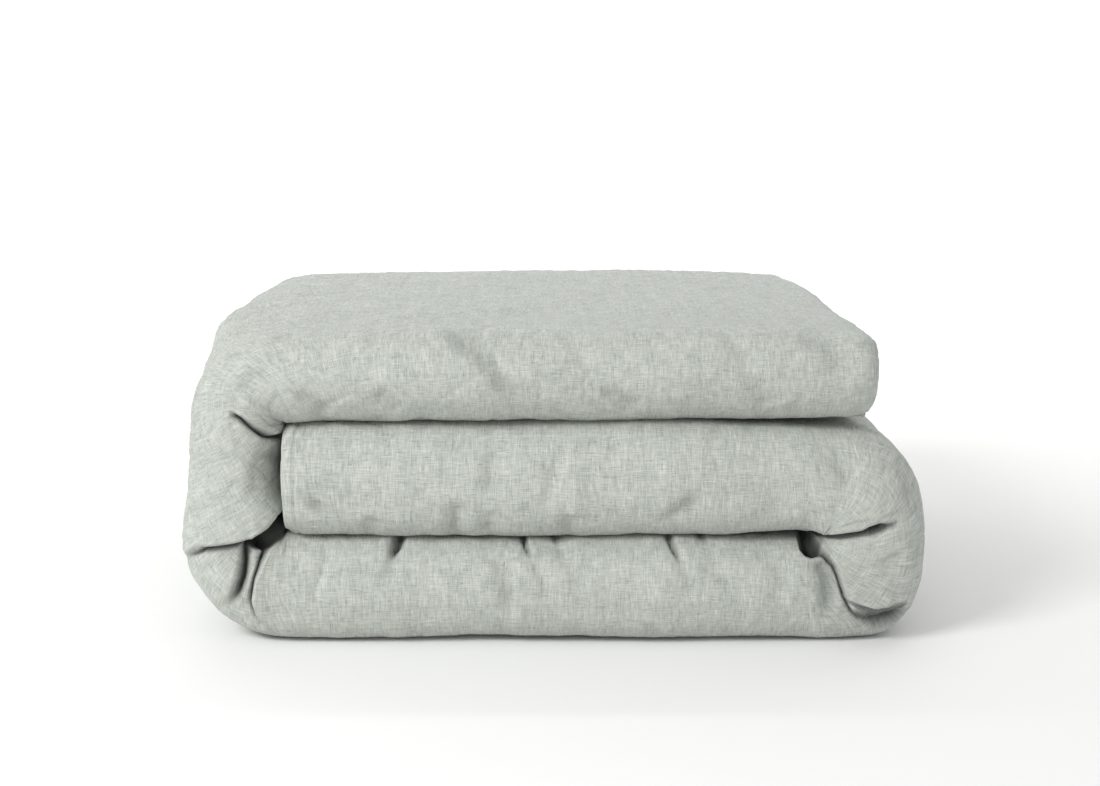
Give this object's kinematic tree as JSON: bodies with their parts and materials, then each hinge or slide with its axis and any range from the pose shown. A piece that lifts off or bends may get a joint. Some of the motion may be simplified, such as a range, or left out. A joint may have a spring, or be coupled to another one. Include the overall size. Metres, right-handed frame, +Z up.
{
  "type": "folded duvet",
  "caption": "Thick duvet in a linen cover, folded in half across its width and then in three along its length; the upper third opens over the left fold",
  "frame": {"origin": "centre of the underside of the folded stack", "axes": "+X to the right fold and the free end of the upper third, +Y to the back edges, -Y to the front fold, +Z up"},
  "size_m": [0.741, 0.7, 0.3132],
  "materials": {
    "linen": "slubbed sage chambray linen",
    "cotton": "smooth downproof cotton",
    "fibre": "loose hollow fibre",
    "shell": "satin, shell look",
    "thread": "matt cotton thread",
    "label": "blank satin ribbon"
  },
  "bodies": {
    "base": {"cover_face_lower_third": "linen", "cover_face_right_fold": "linen", "cover_face_tucked_third": "linen", "cover_face_left_fold": "linen", "cover_reverse_lower_third": "linen", "cover_reverse_right_fold": "linen", "cover_reverse_tucked_third": "linen", "cover_reverse_left_fold": "linen", "insert_ticking_lower_third": "cotton", "insert_ticking_right_fold": "cotton", "insert_ticking_tucked_third": "cotton", "insert_ticking_left_fold": "cotton", "insert_fill_lower_third": "fibre", "insert_fill_right_fold": "fibre", "insert_fill_tucked_third": "fibre", "insert_fill_left_fold": "fibre", "insert_baffles_lower_third": "cotton", "insert_baffles_right_fold": "cotton", "insert_baffles_tucked_third": "cotton", "insert_baffles_left_fold": "cotton", "insert_piping_lower_third": "cotton", "insert_piping_right_fold": "cotton", "insert_piping_tucked_third": "cotton", "insert_piping_left_fold": "cotton", "buttonhole_band": "linen", "button_band": "linen", "buttons": "shell", "button_threads": "thread", "corner_ties_tucked_end": "linen", "corner_loops_tucked_end": "cotton", "care_label": "label"},
    "upper_third": {"cover_face_upper_third": "linen", "cover_reverse_upper_third": "linen", "insert_ticking_upper_third": "cotton", "insert_fill_upper_third": "fibre", "insert_baffles_upper_third": "cotton", "insert_piping_upper_third": "cotton", "corner_ties_upper_end": "linen", "corner_loops_upper_end": "cotton"}
  },
  "joints": [
    {"name": "upper_third_unfold", "type": "hinge", "parent": "base", "child": "upper_third", "pos_m": [-0.2655, 0, 0.1566], "axis": [0, -1, 0], "range_deg": [0, 179.8], "deforming": ["cover_face_left_fold", "cover_reverse_left_fold", "insert_ticking_left_fold", "insert_fill_left_fold", "insert_baffles_left_fold", "insert_piping_left_fold"]}
  ]
}
